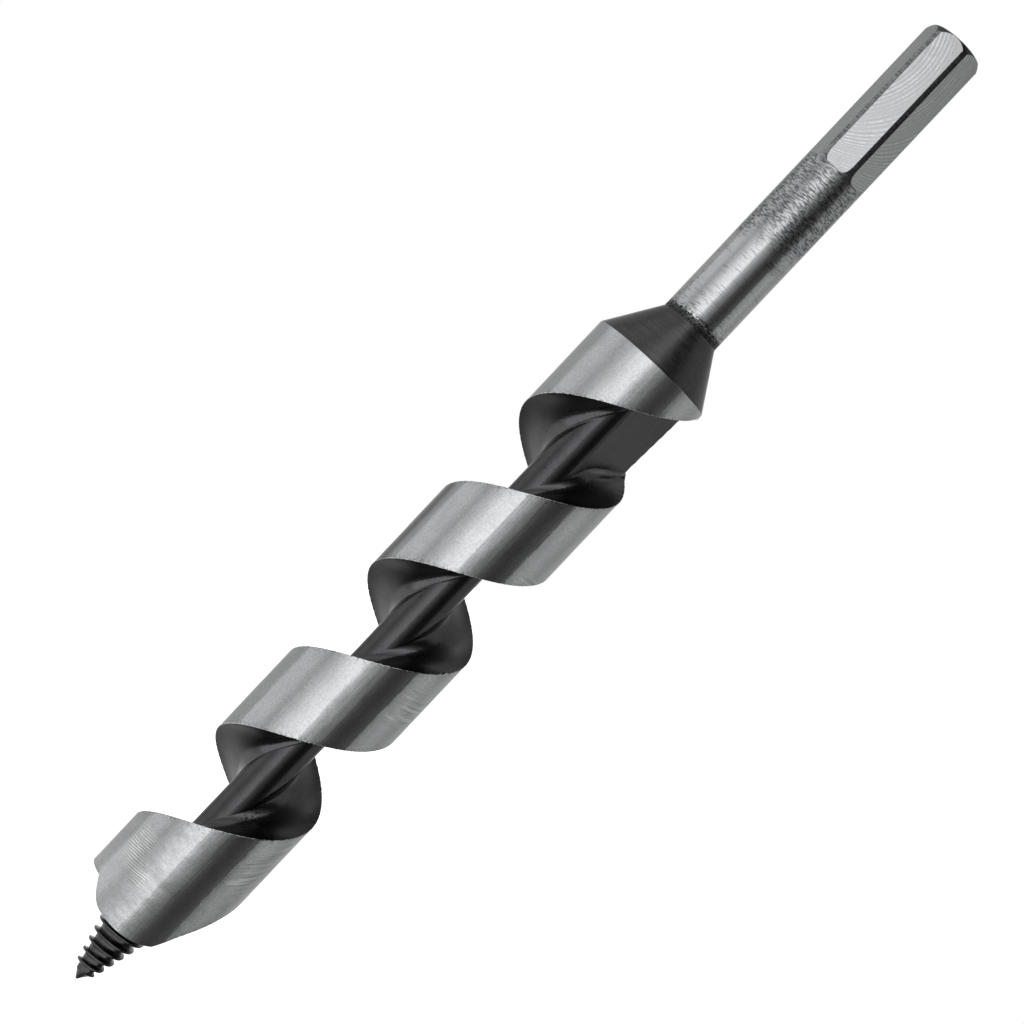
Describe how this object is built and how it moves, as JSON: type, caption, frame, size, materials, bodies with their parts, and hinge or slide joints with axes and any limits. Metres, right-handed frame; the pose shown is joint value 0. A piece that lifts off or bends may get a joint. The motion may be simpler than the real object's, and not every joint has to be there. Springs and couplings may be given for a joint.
{
  "type": "auger bit",
  "caption": "Single-flute wood auger bit with a threaded lead screw, side spur, cutting lip, helical flight round a core, conical shoulder and hex-flatted shank.",
  "frame": {"origin": "middle of the shank's end face, on the bit's axis", "axes": "+Z along the axis and out of the shank, so the bit points down; the picture's camera is on the -Y side"},
  "size_m": [0.025, 0.025, 0.2313],
  "materials": {
    "ground_steel": "ground bright",
    "forged_steel": "black forged, semi-gloss",
    "scaled_steel": "black scale"
  },
  "bodies": {
    "root": {"drive_shank": "ground_steel", "weld_seam": "scaled_steel", "shoulder_cone": "forged_steel", "core_rod": "forged_steel", "twist": "ground_steel", "run_out_web": "forged_steel", "cutting_lip": "ground_steel", "side_spur": "ground_steel", "lead_screw": "scaled_steel"}
  },
  "joints": []
}
